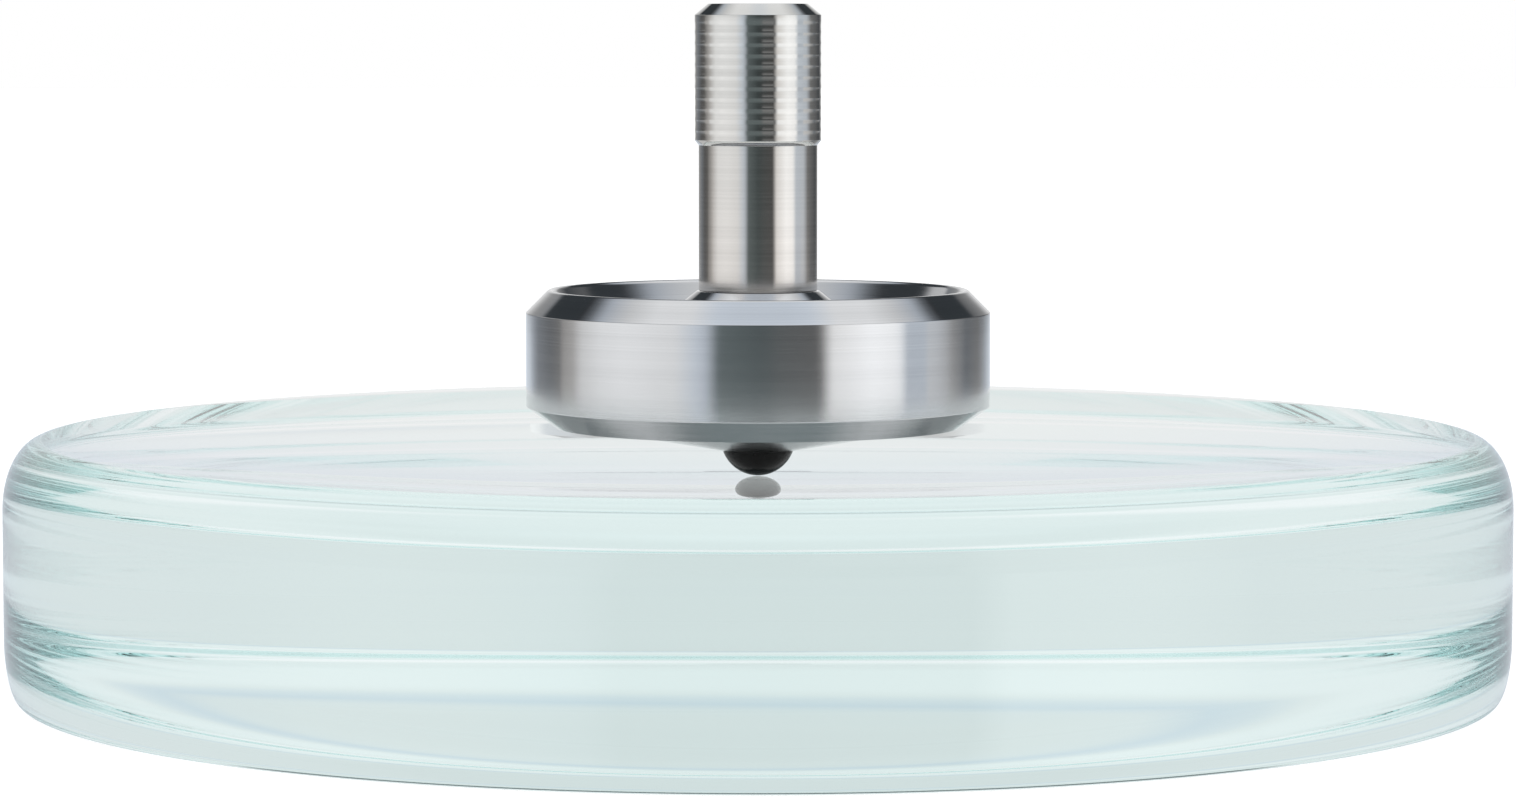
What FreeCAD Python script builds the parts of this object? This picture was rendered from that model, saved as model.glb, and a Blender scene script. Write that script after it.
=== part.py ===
"""A precision spinning top standing on a dished glass base. Millimetres, +Z up.

The origin is the centre of the base's underside. The base is one thick glass disc with a
shallow spherical dish in its top, rounded at both edges. The top stands at the bottom of
the dish and is built from three turned or ground pieces:

    flywheel   steel disc with a heavy rim, a bowl round its hub and a coned underside
    stem       steel spindle with a grooved finger grip, held by its spigot in the hub
    ball_tip   ceramic ball in the hub's underside, the only piece that rests on the glass

All pieces are bodies of revolution about Z, so each is drawn as a half section (r, z).
"""
import FreeCAD
import Part
import math
import os

# Glass base
base_radius = 50.0
base_height = 17.0
rim_round_width = 2.6
rim_round_height = 4.5
foot_round_width = 1.0
foot_round_height = 4.2
dish_depth = 2.86

# Ball tip
ball_radius = 2.5
ball_clearance = 0.02
rest_gap = 0.02

# Flywheel, with heights counted from the ball's lowest point
wheel_radius = 15.47
wheel_bottom = 3.3
lower_bevel_radius = 13.5
lower_bevel_top = 4.7
upper_bevel_bottom = 10.95
upper_bevel_slope = 45.0
cone_radius = 11.3
cone_bottom = 1.72
edge_break = 0.1

# Bowl between the rim and the hub
rim_top = 12.44
rim_lip_round = 0.3
bowl_wall_slope = 65.0
hub_top = 12.35
hub_top_radius = 4.1
hub_slope = 38.0
bowl_bottom_round = 1.5

# Bores in the hub
drill_half_angle = 59.0
spigot_bore_radius = 2.5
spigot_bore_depth = 6.0

# Stem, with heights counted from the ball's lowest point
stem_radius = 3.96
spigot_bond_gap = 0.01
spigot_end_gap = 0.2
spigot_lead = 0.4
grip_bottom = 22.06
grip_radius = 4.21
grip_lead_height = 0.3
groove_count = 11
groove_pitch = 0.72
groove_depth = 0.02
crown_bottom = 30.69
crown_radius = 3.31
stem_top = 31.43

dish_edge_radius = base_radius - rim_round_width
dish_radius = (dish_edge_radius ** 2 + dish_depth ** 2) / (2 * dish_depth)
stand_height = base_height - dish_depth + rest_gap


def section_point(r, z):
    """A point of a half section, which lies in the XZ plane."""
    return FreeCAD.Vector(r, 0, z)


class HalfSection:
    """A closed outline drawn in order round one piece's half section, then turned about Z."""

    def __init__(self, r, z, lift=0.0):
        self.lift = lift
        self.start = section_point(r, z + lift)
        self.at = self.start
        self.edges = []

    def line(self, r, z):
        end = section_point(r, z + self.lift)
        self.edges.append(Part.makeLine(self.at, end))
        self.at = end

    def arc(self, mid, end):
        through, last = (section_point(r, z + self.lift) for r, z in (mid, end))
        self.edges.append(Part.Arc(self.at, through, last).toShape())
        self.at = last

    def quarter_ellipse(self, centre, end):
        """A quarter of an ellipse about centre, whose axes lie along r and z."""
        middle, last = (section_point(r, z + self.lift) for r, z in (centre, end))
        ends = sorted((self.at, last), key=lambda p: p.distanceToPoint(middle))
        shape = Part.Ellipse(ends[1], ends[0], middle)
        first, second = shape.parameter(self.at), shape.parameter(last)
        self.edges.append(Part.ArcOfEllipse(shape, *sorted((first, second))).toShape())
        self.at = last

    def turned(self):
        self.line(self.start.x, self.start.z - self.lift)
        wire = Part.Wire(Part.__sortEdges__(self.edges))
        return Part.Face(wire).revolve(FreeCAD.Vector(0, 0, 0), FreeCAD.Vector(0, 0, 1), 360)


def corner_round(before, corner, after, radius):
    """Start, middle and end of the arc that rounds the corner between two straight runs."""
    def towards(p):
        dr, dz = p[0] - corner[0], p[1] - corner[1]
        length = math.hypot(dr, dz)
        return dr / length, dz / length
    a, b = towards(before), towards(after)
    half = math.acos(a[0] * b[0] + a[1] * b[1]) / 2
    back = radius / math.tan(half)
    middle = math.hypot(a[0] + b[0], a[1] + b[1])
    inward = ((a[0] + b[0]) / middle, (a[1] + b[1]) / middle)
    reach = radius / math.sin(half) - radius
    start = (corner[0] + a[0] * back, corner[1] + a[1] * back)
    centre = (corner[0] + inward[0] * reach, corner[1] + inward[1] * reach)
    end = (corner[0] + b[0] * back, corner[1] + b[1] * back)
    return start, centre, end


def glass_base():
    """A disc with a flat underside, rounded edges and a spherical dish in its top."""
    outline = HalfSection(0, 0)
    outline.line(base_radius - foot_round_width, 0)
    outline.quarter_ellipse((base_radius - foot_round_width, foot_round_height),
                            (base_radius, foot_round_height))
    outline.line(base_radius, base_height - rim_round_height)
    outline.quarter_ellipse((dish_edge_radius, base_height - rim_round_height),
                            (dish_edge_radius, base_height))
    dish_floor = base_height - dish_depth
    half_way = dish_edge_radius / 2
    sag = dish_radius - math.sqrt(dish_radius ** 2 - half_way ** 2)
    outline.arc((half_way, dish_floor + sag), (0, dish_floor))
    return outline.turned()


def ball_tip():
    """The ball, just clear of the bottom of the dish."""
    return Part.makeSphere(ball_radius, FreeCAD.Vector(0, 0, stand_height + ball_radius))


def slope(degrees):
    """Rise over run."""
    return math.tan(math.radians(degrees))


def rim_peak():
    """Where the upper bevel and the bowl's wall would meet if the lip weren't rounded."""
    outer = math.radians(upper_bevel_slope)
    inner = math.radians(bowl_wall_slope)
    half = (math.pi - outer - inner) / 2
    tilt = (inner - outer) / 2
    cut_off = rim_lip_round * (math.cos(tilt) / math.sin(half) - 1)
    height = rim_top + cut_off
    return wheel_radius - (height - upper_bevel_bottom) / slope(upper_bevel_slope), height


def bowl_corner(peak):
    """Where the bowl's wall and the hub's cone would meet if the bottom weren't rounded."""
    wall, hub = slope(bowl_wall_slope), slope(hub_slope)
    height_at_hub = hub_top + hub * hub_top_radius
    height_at_wall = peak[1] - wall * peak[0]
    r = (height_at_hub - height_at_wall) / (wall + hub)
    return r, height_at_hub - hub * r


def flywheel_blank():
    """The disc before it is bored: coned underside, bevelled rim, and bowl round the hub."""
    cone_rise = (wheel_bottom - cone_bottom) / (cone_radius - ball_radius)
    peak = rim_peak()
    corner = bowl_corner(peak)
    hub_edge = (hub_top_radius, hub_top)
    rim_edge = (wheel_radius, upper_bevel_bottom)

    outline = HalfSection(0, cone_bottom - cone_rise * ball_radius, lift=stand_height)
    outline.line(cone_radius, wheel_bottom)
    outline.line(lower_bevel_radius - edge_break, wheel_bottom)
    outline.line(lower_bevel_radius + edge_break, wheel_bottom + edge_break)
    outline.line(wheel_radius - edge_break, lower_bevel_top - edge_break)
    outline.line(wheel_radius, lower_bevel_top + edge_break)
    outline.line(wheel_radius, upper_bevel_bottom - edge_break)
    outline.line(wheel_radius - edge_break, upper_bevel_bottom + edge_break)
    for turn in (corner_round(rim_edge, peak, corner, rim_lip_round),
                 corner_round(peak, corner, hub_edge, bowl_bottom_round)):
        into, middle, out = turn
        outline.line(*into)
        outline.arc(middle, out)
    outline.line(*hub_edge)
    outline.line(0, hub_top)
    return outline.turned()


def ball_bore():
    """The drilled hole that the ball sits in, with the drill's cone above the ball."""
    radius = ball_radius + ball_clearance
    half_angle = math.radians(drill_half_angle)
    tip = ball_radius + radius / math.sin(half_angle)
    outline = HalfSection(0, 0, lift=stand_height)
    outline.line(radius, 0)
    outline.line(radius, tip - radius / math.tan(half_angle))
    outline.line(0, tip)
    return outline.turned()


def spigot_bore():
    floor = FreeCAD.Vector(0, 0, stand_height + hub_top - spigot_bore_depth)
    return Part.makeCylinder(spigot_bore_radius, spigot_bore_depth, floor)


def flywheel():
    return flywheel_blank().cut(ball_bore()).cut(spigot_bore())


def stem():
    """The spindle: spigot, plain shank, a grip of shallow round grooves, and a bevelled crown."""
    spigot_radius = spigot_bore_radius - spigot_bond_gap
    spigot_end = hub_top - spigot_bore_depth + spigot_end_gap
    first_groove = grip_bottom + grip_lead_height

    outline = HalfSection(0, spigot_end, lift=stand_height)
    outline.line(spigot_radius - spigot_lead, spigot_end)
    outline.line(spigot_radius, spigot_end + spigot_lead)
    outline.line(spigot_radius, hub_top)
    outline.line(stem_radius - edge_break, hub_top)
    outline.line(stem_radius, hub_top + edge_break)
    outline.line(stem_radius, grip_bottom)
    outline.line(grip_radius, first_groove)
    for groove in range(groove_count):
        low = first_groove + groove * groove_pitch
        middle = (grip_radius - groove_depth, low + groove_pitch / 2)
        outline.arc(middle, (grip_radius, low + groove_pitch))
    outline.line(grip_radius, crown_bottom)
    outline.line(crown_radius, stem_top)
    outline.line(0, stem_top)
    return outline.turned()


pieces = {
    "glass_base": glass_base,
    "ball_tip": ball_tip,
    "flywheel": flywheel,
    "stem": stem,
}

os.makedirs("parts", exist_ok=True)
for name, make in pieces.items():
    solid = make().Solids[0]
    if not solid.isValid() or solid.Volume <= 0:
        raise ValueError(name + " is not a valid solid")
    solid.exportStep(f"parts/{name}.step")
    box = solid.optimalBoundingBox(False, False)
    print(f"{name}: {solid.Volume:.1f} mm3, from {box.ZMin:.2f} to {box.ZMax:.2f} mm")
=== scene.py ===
"""A turned steel spinning top on a dished glass base: its looks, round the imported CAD.

Every piece is a body of revolution about Z, so each is one half section, drawn with rounded
corners and turned. Heights and outer radii come from the CAD boxes; the rest of a section is
given in millimetres from the same place that the piece is measured from in the CAD.
"""
import math

import bmesh
import bpy
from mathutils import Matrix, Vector


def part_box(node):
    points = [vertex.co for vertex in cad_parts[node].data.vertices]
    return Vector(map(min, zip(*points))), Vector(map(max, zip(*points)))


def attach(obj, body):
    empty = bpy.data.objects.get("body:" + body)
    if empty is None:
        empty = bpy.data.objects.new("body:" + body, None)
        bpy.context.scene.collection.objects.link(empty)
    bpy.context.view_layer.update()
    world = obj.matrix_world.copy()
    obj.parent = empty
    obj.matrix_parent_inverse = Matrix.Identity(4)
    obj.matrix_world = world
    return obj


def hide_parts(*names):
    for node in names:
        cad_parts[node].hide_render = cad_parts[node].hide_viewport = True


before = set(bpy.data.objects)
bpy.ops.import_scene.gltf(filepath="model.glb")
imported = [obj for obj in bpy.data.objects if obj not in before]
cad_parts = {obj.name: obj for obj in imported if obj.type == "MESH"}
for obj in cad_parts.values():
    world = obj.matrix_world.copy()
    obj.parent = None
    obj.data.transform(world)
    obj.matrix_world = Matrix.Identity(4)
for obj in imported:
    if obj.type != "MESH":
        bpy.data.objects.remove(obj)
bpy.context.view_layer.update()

MM = 0.001

# ---------------------------------------------------------------- camera

CAMERA_BACK = 0.3435
CAMERA_HEIGHT = 0.04455
CAMERA_PITCH = math.radians(4.22)
CAMERA_LENS = 122.5
SENSOR_WIDTH = 36.0


def make_camera():
    data = bpy.data.cameras.new("camera")
    data.sensor_width = SENSOR_WIDTH
    data.lens = CAMERA_LENS
    camera = bpy.data.objects.new("camera", data)
    camera.location = (0, -CAMERA_BACK, CAMERA_HEIGHT)
    camera.rotation_euler = (math.pi / 2 - CAMERA_PITCH, 0, 0)
    bpy.context.scene.collection.objects.link(camera)
    bpy.context.scene.camera = camera


make_camera()

# ---------------------------------------------------------------- half sections

SUPPORT = 0.02
ROUND_STEPS = 6
ELLIPSE_STEPS = 36
ON_AXIS = 1e-6


def rounded(corners):
    """Points of a half section from corners (r, z, radius). Each round one becomes an arc.

    A point just before and after each arc keeps the shading of the straight runs even."""
    points = []
    for i, (r, z, radius) in enumerate(corners):
        here = Vector((r, z))
        if radius == 0 or i in (0, len(corners) - 1):
            points.append(here)
            continue
        before = (Vector(corners[i - 1][:2]) - here).normalized()
        after = (Vector(corners[i + 1][:2]) - here).normalized()
        half = before.angle(after) / 2
        back = radius / math.tan(half)
        centre = here + (before + after).normalized() * (radius / math.sin(half))
        start = here + before * back - centre
        sweep = start.angle_signed(here + after * back - centre)
        points.append(here + before * (back + SUPPORT))
        for step in range(ROUND_STEPS + 1):
            turn = -sweep * step / ROUND_STEPS
            c, s = math.cos(turn), math.sin(turn)
            points.append(centre + Vector((start.x * c - start.y * s, start.x * s + start.y * c)))
        points.append(here + after * (back + SUPPORT))
    return points


def quarter_ellipse(centre, half_width, half_height, from_angle):
    """Points of a quarter of an ellipse, going anticlockwise from from_angle in degrees."""
    points = []
    for step in range(ELLIPSE_STEPS + 1):
        angle = math.radians(from_angle + 90 * step / ELLIPSE_STEPS)
        points.append(Vector((centre[0] + half_width * math.cos(angle),
                              centre[1] + half_height * math.sin(angle))))
    return points


def ring_at(mesh, point, segments):
    """Vertices all round at a point of the section, or a single one on the axis."""
    if point.x < ON_AXIS:
        return [mesh.verts.new((0, 0, point.y * MM))]
    ring = []
    for k in range(segments):
        angle = 2 * math.pi * k / segments
        ring.append(mesh.verts.new((point.x * MM * math.cos(angle),
                                    point.x * MM * math.sin(angle), point.y * MM)))
    return ring


def turned(name, section, segments):
    """The section, in millimetres, turned about Z: quads, with triangles only at the axis."""
    mesh = bmesh.new()
    rings = [ring_at(mesh, point, segments) for point in section]
    for lower, upper in zip(rings, rings[1:]):
        for k in range(segments):
            beside = (k + 1) % segments
            if len(lower) == 1:
                mesh.faces.new((lower[0], upper[beside], upper[k]))
            elif len(upper) == 1:
                mesh.faces.new((lower[k], lower[beside], upper[0]))
            else:
                mesh.faces.new((lower[k], lower[beside], upper[beside], upper[k]))
    bmesh.ops.recalc_face_normals(mesh, faces=mesh.faces)
    for face in mesh.faces:
        face.smooth = True
    data = bpy.data.meshes.new(name)
    mesh.to_mesh(data)
    mesh.free()
    piece = bpy.data.objects.new(name, data)
    bpy.context.scene.collection.objects.link(piece)
    return piece


# ---------------------------------------------------------------- sizes from the frame


def span(cad_node):
    """A node's outer radius, lowest height and highest height, in millimetres."""
    low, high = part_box(cad_node)
    return high[0] / MM, low[2] / MM, high[2] / MM


BASE_R, BASE_LOW, BASE_TOP = span("glass_base")
_, TIP_Z, BALL_TOP = span("ball_tip")
WHEEL_R, WHEEL_LOW, _ = span("flywheel")
GRIP_R, SPIGOT_Z, STEM_TOP = span("stem")
BALL_R = (BALL_TOP - TIP_Z) / 2

# ---------------------------------------------------------------- pieces

# Glass base
DISH_DEPTH = 2.86
RIM_WIDTH, RIM_HEIGHT = 2.6, 4.5
FOOT_WIDTH, FOOT_HEIGHT = 1.0, 4.2
DISH_STEPS = 24
GLASS_SEGMENTS = 720

# Ball tip
BALL_STEPS, BALL_SEGMENTS = 48, 96

# Flywheel, as (distance from the axis, height above the ball's lowest point)
CONE_LOW = 1.72
CONE_EDGE = (11.3, 3.3)
LOWER_BEVEL_FOOT = (13.5, 3.3)
LOWER_BEVEL_TOP = 4.7
UPPER_BEVEL_LOW = 10.95
LIP_INSET, LIP_PEAK = 1.71, 12.66
BOWL_BOTTOM = (11.07, 6.9)
HUB_EDGE = (4.1, 12.35)
LIP_ROUND, BOWL_ROUND, CONE_ROUND = 0.3, 1.5, 1.5
EDGE_ROUND, FINE_ROUND = 0.06, 0.03
BALL_CLEARANCE = 0.02
DRILL_HALF_ANGLE = math.radians(59)
SPIGOT_BORE_R, SPIGOT_BORE_LOW = 2.5, 6.35
WHEEL_SEGMENTS = 288

# Stem, with heights above the ball's lowest point
SHANK_R, SPIGOT_R, SPIGOT_ROUND = 3.96, 2.49, 0.4
SEAM_GAP = 0.02
GRIP_LOW, GRIP_LEAD = 22.06, 0.3
GROOVES, GROOVE_PITCH, GROOVE_DEPTH = 11, 0.72, 0.02
GROOVE_STEPS = 8
CROWN_LOW, CROWN_R = 30.69, 3.31
STEM_SEGMENTS = 192


def glass_base():
    edge = BASE_R - RIM_WIDTH
    sphere = (edge ** 2 + DISH_DEPTH ** 2) / (2 * DISH_DEPTH)
    floor = BASE_TOP - DISH_DEPTH
    section = [Vector((0, BASE_LOW)), Vector((BASE_R - FOOT_WIDTH - SUPPORT, BASE_LOW))]
    section += quarter_ellipse((BASE_R - FOOT_WIDTH, BASE_LOW + FOOT_HEIGHT),
                               FOOT_WIDTH, FOOT_HEIGHT, -90)
    section += quarter_ellipse((edge, BASE_TOP - RIM_HEIGHT), RIM_WIDTH, RIM_HEIGHT, 0)
    for step in range(DISH_STEPS + 1):
        r = edge * (1 - step / DISH_STEPS) - SUPPORT * (step == 0)
        section.append(Vector((max(r, 0), floor + sphere - math.sqrt(sphere ** 2 - r ** 2))))
    return turned("glass_base_turned", section, GLASS_SEGMENTS)


def ball_tip():
    section = []
    for step in range(BALL_STEPS + 1):
        angle = math.pi * step / BALL_STEPS
        r = BALL_R * math.sin(angle) if 0 < step < BALL_STEPS else 0
        section.append(Vector((r, TIP_Z + BALL_R * (1 - math.cos(angle)))))
    return turned("ball_tip_turned", section, BALL_SEGMENTS)


def above_tip(*corners):
    """Corners (r, height above the tip, radius) as corners (r, z, radius)."""
    return [(r, TIP_Z + height, radius) for r, height, radius in corners]


def flywheel():
    bore = BALL_R + BALL_CLEARANCE
    bore_tip = BALL_R + bore / math.sin(DRILL_HALF_ANGLE)
    bore_wall = bore_tip - bore / math.tan(DRILL_HALF_ANGLE)
    corners = above_tip((0, bore_tip, 0), (bore, bore_wall, 0), (bore, CONE_LOW, EDGE_ROUND),
                        (*CONE_EDGE, CONE_ROUND), (*LOWER_BEVEL_FOOT, EDGE_ROUND),
                        (WHEEL_R, LOWER_BEVEL_TOP, EDGE_ROUND),
                        (WHEEL_R, UPPER_BEVEL_LOW, EDGE_ROUND),
                        (WHEEL_R - LIP_INSET, LIP_PEAK, LIP_ROUND), (*BOWL_BOTTOM, BOWL_ROUND),
                        (*HUB_EDGE, FINE_ROUND), (SPIGOT_BORE_R, HUB_EDGE[1], 0),
                        (SPIGOT_BORE_R, SPIGOT_BORE_LOW, 0), (0, SPIGOT_BORE_LOW, 0))
    return turned("flywheel_turned", rounded(corners), WHEEL_SEGMENTS)


def stem():
    seam = HUB_EDGE[1] + SEAM_GAP
    corners = [(0, SPIGOT_Z, 0), (SPIGOT_R, SPIGOT_Z, SPIGOT_ROUND)]
    corners += above_tip((SPIGOT_R, seam, 0), (SHANK_R, seam, EDGE_ROUND),
                         (SHANK_R, GRIP_LOW, FINE_ROUND), (GRIP_R, GRIP_LOW + GRIP_LEAD, 0))
    section = rounded(corners)
    for groove in range(GROOVES):
        low = TIP_Z + GRIP_LOW + GRIP_LEAD + groove * GROOVE_PITCH
        for step in range(1, GROOVE_STEPS + 1):
            u = step / GROOVE_STEPS
            hollow = 4 * u * (1 - u)
            r = GRIP_R - GROOVE_DEPTH * hollow
            section.append(Vector((r, low + u * GROOVE_PITCH)))
    crown = rounded([(GRIP_R, section[-1].y, 0), (GRIP_R, TIP_Z + CROWN_LOW, EDGE_ROUND),
                     (CROWN_R, STEM_TOP, EDGE_ROUND), (0, STEM_TOP, 0)])
    return turned("stem_turned", section + crown[1:], STEM_SEGMENTS)


# ---------------------------------------------------------------- materials

# Tints, by which a grey is multiplied
COOL = (0.90, 0.97, 1.06)
TEAL = (0.86, 1.02, 1.04)
NEUTRAL = (1.0, 1.0, 1.0)
WARM = (1.03, 1.0, 0.97)
PALE = (1.06, 1.0, 1.01)

# Steel: darkest and lightest tone, tint at the wheel's foot and at the stem's top, roughness,
# and turning marks to a millimetre
WHEEL_LOOK = ((0.61, 0.62, 0.635), (0.66, 0.67, 0.685), NEUTRAL, NEUTRAL, 0.11, 9.0)
STEM_LOOK = ((0.64, 0.635, 0.63), (0.69, 0.685, 0.68), (1.03, 0.98, 0.94), (0.99, 1.0, 0.99),
             0.10, 7.0)
MARK_DEPTH = 0.001
BROAD_MARKS_PER_MM, MARK_DETAIL = 0.9, 4.0
STREAKS = (0.93, 1.0)
ROUGHNESS_SPREAD = (0.85, 1.2)
BRUSHED, BRUSHED_TURN = 0.7, 0.25

# Ceramic
CERAMIC_TONES = ((0.002, 0.002, 0.002), (0.003, 0.004, 0.004))
CERAMIC_GRAIN_PER_MM = 4
CERAMIC_ROUGHNESS = (0.06, 0.1)
CERAMIC_SHINE = 0.12

# Glass
GLASS_IOR = 1.52
GLASS_TINT = (0.42, 0.87, 0.85)
GLASS_DENSITY = 3.2


# Where noise between 0 and 1 counts as low and as high
NOISE_RANGE = (0.3, 0.7)
# The places of a Mix node's two colours and of its result among its sockets
MIX_FIRST, MIX_SECOND, MIX_RESULT = 6, 7, 2


def material(name):
    made = bpy.data.materials.new(name)
    made.use_nodes = True
    return made, made.node_tree, made.node_tree.nodes["Principled BSDF"]


def node(tree, kind, **settings):
    made = tree.nodes.new("ShaderNode" + kind)
    for key, value in settings.items():
        setattr(made, key, value)
    return made


def math_node(tree, operation, a, b=None):
    made = node(tree, "Math", operation=operation)
    for socket, value in zip(made.inputs, (a, b)):
        if value is None:
            continue
        if isinstance(value, bpy.types.NodeSocket):
            tree.links.new(value, socket)
        else:
            socket.default_value = value
    return made.outputs[0]


def turning_coordinate(tree):
    """(distance from the axis, 0, height) in metres, so that noise runs round in rings."""
    place = node(tree, "TexCoord").outputs["Object"]
    apart = node(tree, "SeparateXYZ")
    tree.links.new(place, apart.inputs[0])
    x, y, z = apart.outputs
    r = math_node(tree, "SQRT", math_node(tree, "ADD", math_node(tree, "MULTIPLY", x, x),
                                          math_node(tree, "MULTIPLY", y, y)))
    together = node(tree, "CombineXYZ")
    tree.links.new(r, together.inputs[0])
    tree.links.new(z, together.inputs[2])
    return together.outputs[0]


def grey(level):
    return (level, level, level)


def noise_at(tree, where, per_mm, detail=2.0):
    noise = node(tree, "TexNoise")
    noise.inputs["Scale"].default_value = per_mm / MM
    noise.inputs["Detail"].default_value = detail
    tree.links.new(where, noise.inputs["Vector"])
    return noise.outputs["Fac"]


def ramp(tree, value, low, high):
    """Maps 0..1 noise to a colour or grey between low and high."""
    made = node(tree, "ValToRGB")
    for element, place, colour in zip(made.color_ramp.elements, NOISE_RANGE, (low, high)):
        element.position = place
        element.color = (*colour, 1)
    tree.links.new(value, made.inputs[0])
    return made.outputs[0]


def step_between(tree, value, low, high):
    made = node(tree, "MapRange", interpolation_type="SMOOTHSTEP")
    tree.links.new(value, made.inputs["Value"])
    made.inputs["From Min"].default_value = low
    made.inputs["From Max"].default_value = high
    return made.outputs["Result"]


def mixed(tree, amount, a, b):
    made = node(tree, "Mix", data_type="RGBA")
    tree.links.new(amount, made.inputs["Factor"])
    for socket, value in ((made.inputs[MIX_FIRST], a), (made.inputs[MIX_SECOND], b)):
        if isinstance(value, bpy.types.NodeSocket):
            tree.links.new(value, socket)
        else:
            socket.default_value = (*value, 1)
    return made.outputs[MIX_RESULT]


def multiplied(tree, a, b):
    made = node(tree, "Mix", data_type="RGBA", blend_type="MULTIPLY")
    made.inputs["Factor"].default_value = 1.0
    tree.links.new(a, made.inputs[MIX_FIRST])
    tree.links.new(b, made.inputs[MIX_SECOND])
    return made.outputs[MIX_RESULT]


def turned_steel(name, dark, light, tint_low, tint_high, roughness, marks_per_mm):
    """Steel with turning marks. Its tint shifts from tint_low to tint_high up the piece."""
    made, tree, shader = material(name)
    where = turning_coordinate(tree)
    broad = noise_at(tree, where, BROAD_MARKS_PER_MM)
    fine = noise_at(tree, where, marks_per_mm, MARK_DETAIL)
    height = node(tree, "SeparateXYZ")
    tree.links.new(where, height.inputs[0])
    up = step_between(tree, height.outputs[2], WHEEL_LOW * MM, STEM_TOP * MM)
    tone = multiplied(tree, ramp(tree, broad, dark, light), mixed(tree, up, tint_low, tint_high))
    streaks = ramp(tree, fine, *(grey(level) for level in STREAKS))
    tree.links.new(multiplied(tree, tone, streaks), shader.inputs["Base Color"])
    rough = ramp(tree, fine, *(grey(roughness * share) for share in ROUGHNESS_SPREAD))
    tree.links.new(rough, shader.inputs["Roughness"])
    shader.inputs["Metallic"].default_value = 1.0
    shader.inputs["Anisotropic"].default_value = BRUSHED
    shader.inputs["Anisotropic Rotation"].default_value = BRUSHED_TURN
    tangent = node(tree, "Tangent", direction_type="RADIAL", axis="Z")
    tree.links.new(tangent.outputs[0], shader.inputs["Tangent"])
    bump = node(tree, "Bump")
    bump.inputs["Strength"].default_value = 1.0
    bump.inputs["Distance"].default_value = MARK_DEPTH * MM
    tree.links.new(fine, bump.inputs["Height"])
    tree.links.new(bump.outputs[0], shader.inputs["Normal"])
    return made


def black_ceramic():
    made, tree, shader = material("black_ceramic")
    grain = noise_at(tree, node(tree, "TexCoord").outputs["Object"], CERAMIC_GRAIN_PER_MM)
    tree.links.new(ramp(tree, grain, *CERAMIC_TONES), shader.inputs["Base Color"])
    rough = ramp(tree, grain, *(grey(level) for level in CERAMIC_ROUGHNESS))
    tree.links.new(rough, shader.inputs["Roughness"])
    shader.inputs["Specular IOR Level"].default_value = CERAMIC_SHINE
    return made


def green_glass():
    made, tree, shader = material("green_glass")
    shader.inputs["Base Color"].default_value = (1, 1, 1, 1)
    shader.inputs["Transmission Weight"].default_value = 1.0
    shader.inputs["Roughness"].default_value = 0.0
    shader.inputs["IOR"].default_value = GLASS_IOR
    absorb = node(tree, "VolumeAbsorption")
    absorb.inputs["Color"].default_value = (*GLASS_TINT, 1)
    absorb.inputs["Density"].default_value = GLASS_DENSITY
    output = tree.nodes["Material Output"]
    tree.links.new(absorb.outputs[0], output.inputs["Volume"])
    return made


# ---------------------------------------------------------------- studio

# The studio is light by direction, so that it is the same for every view: azimuth in
# degrees, 0 towards the photo's camera and positive to the right, and elevation in degrees.
# What the steel mirrors, what the glass mirrors and what shows through it have separate lights.

HALF_TURN, FULL_TURN = 180, 360

# What the wheel mirrors, from below the level of the camera: (azimuth, light, tint)
LOW_RING = [(-180, 0.85, COOL), (-156, 0.80, COOL), (-140, 0.28, COOL), (-124, 0.19, COOL),
            (-116, 0.22, NEUTRAL), (-112, 0.50, WARM), (-104, 0.58, WARM), (-97, 1.00, NEUTRAL),
            (-70, 1.21, NEUTRAL), (-42, 1.08, NEUTRAL), (-31, 0.92, COOL), (-26, 0.76, COOL),
            (-20, 0.20, TEAL), (0, 0.19, TEAL), (31, 0.20, NEUTRAL), (37, 1.25, NEUTRAL),
            (60, 1.44, NEUTRAL), (74, 1.30, NEUTRAL), (79, 0.68, COOL), (90, 0.72, COOL),
            (93, 0.78, NEUTRAL), (106, 0.66, NEUTRAL), (112, 0.50, NEUTRAL), (125, 0.24, COOL),
            (140, 0.30, NEUTRAL), (160, 0.70, COOL), (180, 0.85, COOL)]
# What the stem mirrors, from the level of the camera and above it
HIGH_RING = [(-180, 0.85, NEUTRAL), (-170, 0.80, NEUTRAL), (-160, 0.36, NEUTRAL),
             (-142, 0.24, COOL), (-126, 0.12, NEUTRAL), (-116, 0.14, WARM), (-98, 0.60, WARM),
             (-84, 1.02, NEUTRAL), (-60, 1.05, NEUTRAL), (-40, 0.96, NEUTRAL),
             (-28, 0.78, COOL), (-24, 0.62, COOL), (-18, 0.16, TEAL), (0, 0.075, TEAL),
             (28, 0.075, WARM), (36, 0.92, WARM), (56, 1.33, NEUTRAL),
             (70, 1.26, NEUTRAL), (79, 0.82, COOL), (99, 0.72, COOL), (112, 0.22, NEUTRAL),
             (148, 0.08, COOL), (162, 0.30, NEUTRAL), (170, 0.80, NEUTRAL), (180, 0.85, NEUTRAL)]
RING_EDGE = (-3.4, -3.0)

# Over the stem's mirrored dark stretches it is lighter above and below than level
STEM_CARDS = [((8, 29), 0.26), ((-144, -114), 0.70)]
CARD_HALF_HEIGHT = (3, 9)
CARD_SOFTNESS = 3

# Above the rings, before the light overhead
DARK_GAP = (0.045, 0.052, 0.058)
GAP_START = (20, 24)
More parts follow.
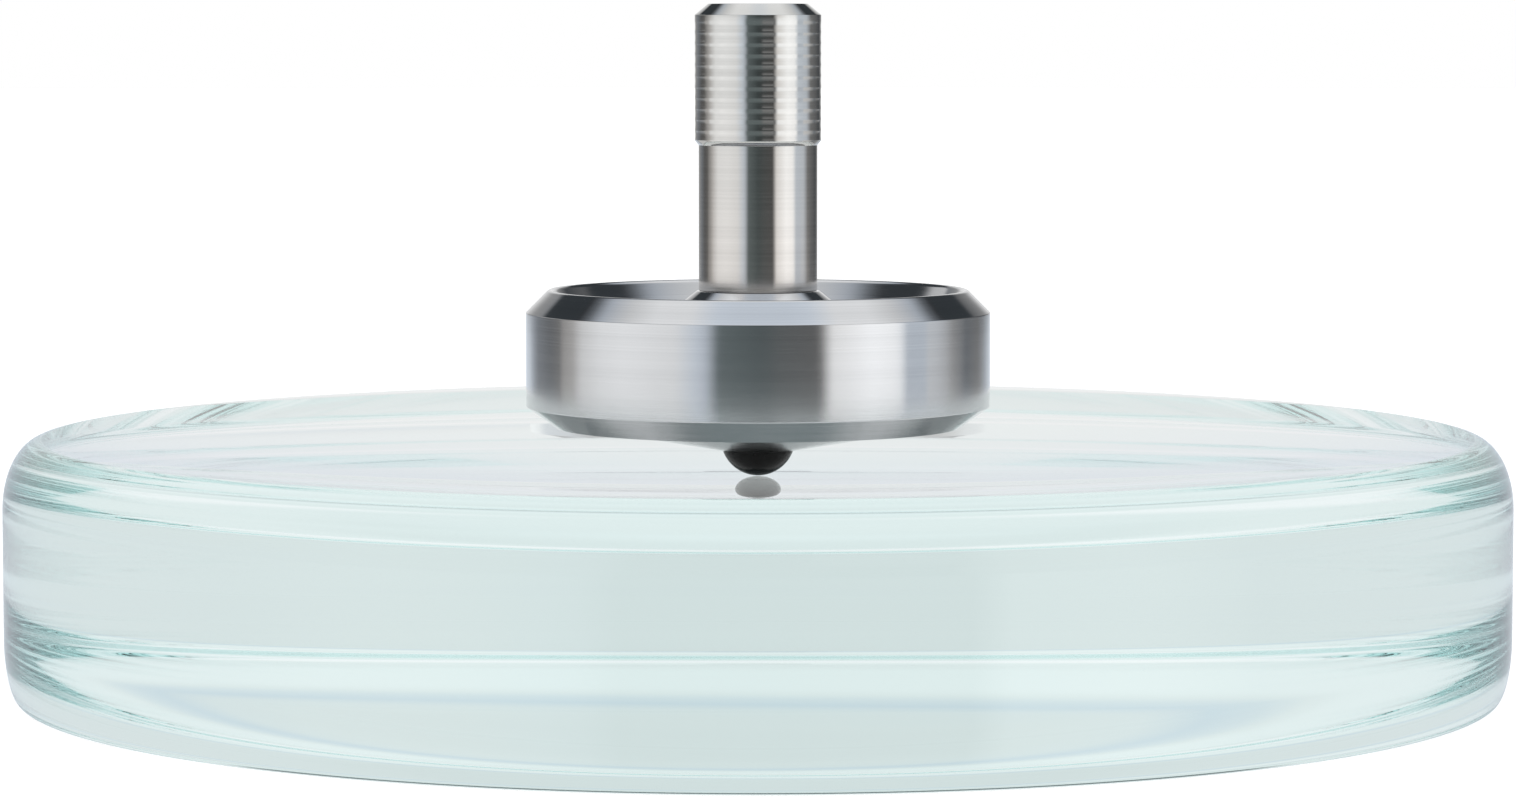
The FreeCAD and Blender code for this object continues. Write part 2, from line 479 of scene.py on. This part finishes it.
# By how nearly a direction points straight up, leaning towards the back and the right
OVERHEAD = [(0.55, 0.05, COOL), (0.60, 0.18, COOL), (0.67, 0.62, COOL), (0.77, 0.84, NEUTRAL),
            (0.86, 1.08, NEUTRAL), (0.94, 1.06, NEUTRAL), (0.98, 0.92, COOL), (1.0, 0.88, COOL)]
OVERHEAD_START = (0.53, 0.55)
OVERHEAD_LEAN_BACK, OVERHEAD_LEAN_RIGHT = 0.12, 0.03
BELOW = (0.22, 0.25, 0.25)
BELOW_START = (-24, -34)

# What the glass mirrors at the sides and the back: (elevation, light, tint)
GLASS_MIRRORS = [(-90, 0.76, NEUTRAL), (0, 0.77, COOL), (12, 0.80, NEUTRAL), (90, 0.92, NEUTRAL)]
GLASS_MIRRORS_SIDES = (50, 90)

# What shows through the glass: (elevation, light, tint)
THROUGH_GLASS = [(-90, 0.85, NEUTRAL), (-40, 0.95, NEUTRAL), (-22, 0.88, NEUTRAL),
                 (-12, 0.80, NEUTRAL), (7.2, 0.79, NEUTRAL), (8.3, 0.81, NEUTRAL),
                 (9.3, 0.75, COOL), (10.4, 0.85, NEUTRAL), (11.4, 0.91, NEUTRAL),
                 (17, 0.91, NEUTRAL), (18.5, 0.88, NEUTRAL), (24, 0.88, NEUTRAL),
                 (26, 0.97, PALE), (32, 0.97, PALE), (40, 0.90, NEUTRAL), (90, 0.88, NEUTRAL)]
THROUGH_GLASS_TILT = 2
# What the wheel's underside mirrors of the back, through the glass: (elevation, light, tint)
UNDER_WHEEL = [(-90, 0.74, NEUTRAL), (-75, 0.70, NEUTRAL), (-70, 0.27, TEAL), (-62, 0.26, TEAL),
               (-55, 0.20, TEAL), (-40, 0.17, TEAL), (-28, 0.18, TEAL), (-18, 0.19, TEAL),
               (-9, 0.15, TEAL)]
UNDER_WHEEL_TILT = 18
UNDER_WHEEL_SIDES = (150, 156)
UNDER_WHEEL_START = (-3, -6)

BACKDROP = (1.0, 1.0, 1.0)
BOUNCES = 24

FLOOR_RADIUS, FLOOR_DROP = 3.0, 0.0001
FLOOR_SEGMENTS = 96
FLOOR_GREY, FLOOR_ROUGHNESS, FLOOR_GLOW = 0.8, 0.9, 0.7


def light_ramp(tree, position, stops):
    """A colour ramp with a stop (position, colour) for each light."""
    made = node(tree, "ValToRGB")
    elements = made.color_ramp.elements
    elements.remove(elements[-1])
    (place, colour), *later = stops
    elements[0].position = place
    elements[0].color = (*colour, 1)
    for place, colour in later:
        elements.new(place).color = (*colour, 1)
    tree.links.new(position, made.inputs[0])
    return made.outputs[0]


def lights(stops, full=None):
    """Stops (place, light, tint) as (position, colour). Places are degrees if full is given."""
    made = []
    for place, light, tint in stops:
        position = place / full + 0.5 if full else place
        made.append((position, [light * part for part in tint]))
    return made


def along_ramp(tree, degrees, full):
    """Degrees either side of 0 as a place on a ramp that covers the full range."""
    return math_node(tree, "ADD", math_node(tree, "DIVIDE", degrees, full), 0.5)


def within(tree, value, low, high, soft):
    rise = step_between(tree, value, low - soft, low + soft)
    fall = step_between(tree, value, high + soft, high - soft)
    return math_node(tree, "MULTIPLY", rise, fall)


class Direction:
    """Where a ray that leaves the scene points."""

    def __init__(self, tree):
        apart = node(tree, "SeparateXYZ")
        tree.links.new(node(tree, "TexCoord").outputs["Generated"], apart.inputs[0])
        self.x, self.y, self.z = apart.outputs
        turn = math_node(tree, "ARCTAN2", self.x, math_node(tree, "MULTIPLY", self.y, -1.0))
        rise = math_node(tree, "ARCSINE", self.z)
        self.azimuth = math_node(tree, "MULTIPLY", turn, HALF_TURN / math.pi)
        self.elevation = math_node(tree, "MULTIPLY", rise, HALF_TURN / math.pi)
        self.aside = math_node(tree, "ABSOLUTE", self.azimuth)


def by_elevation(tree, to, stops, tilt=0):
    """Light by elevation, with the whole pattern raised by tilt degrees to the right."""
    raised = math_node(tree, "MULTIPLY", to.x, tilt)
    level = math_node(tree, "SUBTRACT", to.elevation, raised)
    return light_ramp(tree, along_ramp(tree, level, HALF_TURN), lights(stops, HALF_TURN))


def light_on_steel(tree, to):
    """Two rings of light, cards for the stem, a dark gap, and light overhead and below."""
    along = along_ramp(tree, to.azimuth, FULL_TURN)
    light = mixed(tree, step_between(tree, to.elevation, *RING_EDGE),
                  light_ramp(tree, along, lights(LOW_RING, FULL_TURN)),
                  light_ramp(tree, along, lights(HIGH_RING, FULL_TURN)))
    off_level = step_between(tree, math_node(tree, "ABSOLUTE", to.elevation), *CARD_HALF_HEIGHT)
    for (left, right), level in STEM_CARDS:
        across = within(tree, to.azimuth, left, right, CARD_SOFTNESS)
        light = mixed(tree, math_node(tree, "MULTIPLY", across, off_level), light, grey(level))
    light = mixed(tree, step_between(tree, to.elevation, *GAP_START), light, DARK_GAP)
    lean_back = math_node(tree, "MULTIPLY", to.y, OVERHEAD_LEAN_BACK)
    lean_right = math_node(tree, "MULTIPLY", to.x, OVERHEAD_LEAN_RIGHT)
    leaning = math_node(tree, "ADD", math_node(tree, "SUBTRACT", to.z, lean_back), lean_right)
    overhead = light_ramp(tree, leaning, lights(OVERHEAD))
    light = mixed(tree, step_between(tree, leaning, *OVERHEAD_START), light, overhead)
    return mixed(tree, step_between(tree, to.elevation, *BELOW_START), light, BELOW)


def light_mirrored(tree, to, path):
    """Only the glass is smooth enough to mirror sharply, so a sharp ray has met it last."""
    on_glass = math_node(tree, "MULTIPLY", path.outputs["Is Singular Ray"],
                         step_between(tree, to.aside, *GLASS_MIRRORS_SIDES))
    return mixed(tree, on_glass, light_on_steel(tree, to), by_elevation(tree, to, GLASS_MIRRORS))


def light_through(tree, to, path):
    """What shows through the glass, and what the steel mirrors once of the back through it."""
    times = path.outputs["Glossy Depth"]
    once = math_node(tree, "MULTIPLY", math_node(tree, "GREATER_THAN", times, 0.5),
                     math_node(tree, "LESS_THAN", times, 1.5))
    behind = math_node(tree, "MULTIPLY", step_between(tree, to.aside, *UNDER_WHEEL_SIDES),
                       step_between(tree, to.elevation, *UNDER_WHEEL_START))
    return mixed(tree, math_node(tree, "MULTIPLY", behind, once),
                 by_elevation(tree, to, THROUGH_GLASS, THROUGH_GLASS_TILT),
                 by_elevation(tree, to, UNDER_WHEEL, UNDER_WHEEL_TILT))


def make_world():
    world = bpy.data.worlds.new("studio")
    bpy.context.scene.world = world
    world.use_nodes = True
    tree = world.node_tree
    to = Direction(tree)
    path = node(tree, "LightPath")
    sky = mixed(tree, path.outputs["Is Transmission Ray"], light_mirrored(tree, to, path),
                light_through(tree, to, path))
    sky = mixed(tree, path.outputs["Is Camera Ray"], sky, BACKDROP)
    tree.links.new(sky, tree.nodes["Background"].inputs["Color"])


def make_floor():
    mesh = bmesh.new()
    bmesh.ops.create_circle(mesh, cap_ends=True, segments=FLOOR_SEGMENTS, radius=FLOOR_RADIUS)
    data = bpy.data.meshes.new("floor")
    mesh.to_mesh(data)
    mesh.free()
    floor = bpy.data.objects.new("floor", data)
    floor.location.z = BASE_LOW * MM - FLOOR_DROP
    bpy.context.scene.collection.objects.link(floor)
    made, _, shader = material("white_table")
    shader.inputs["Base Color"].default_value = (*grey(FLOOR_GREY), 1)
    shader.inputs["Roughness"].default_value = FLOOR_ROUGHNESS
    shader.inputs["Emission Color"].default_value = (1, 1, 1, 1)
    shader.inputs["Emission Strength"].default_value = FLOOR_GLOW
    data.materials.append(made)
    # The light by direction already stands for the table in the steel and the glass
    floor.visible_glossy = False
    floor.visible_transmission = False


def make_view():
    scene = bpy.context.scene
    scene.view_settings.view_transform = "Standard"
    scene.cycles.max_bounces = BOUNCES
    scene.cycles.glossy_bounces = BOUNCES
    scene.cycles.transmission_bounces = BOUNCES


make_world()
make_floor()
make_view()

# ---------------------------------------------------------------- assembly


def assemble(piece, body, cad_node, look):
    piece.data.materials.append(look)
    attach(piece, body)
    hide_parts(cad_node)


assemble(glass_base(), "base", "glass_base", green_glass())
assemble(ball_tip(), "tip", "ball_tip", black_ceramic())
assemble(flywheel(), "top", "flywheel", turned_steel("wheel_steel", *WHEEL_LOOK))
assemble(stem(), "top", "stem", turned_steel("stem_steel", *STEM_LOOK))
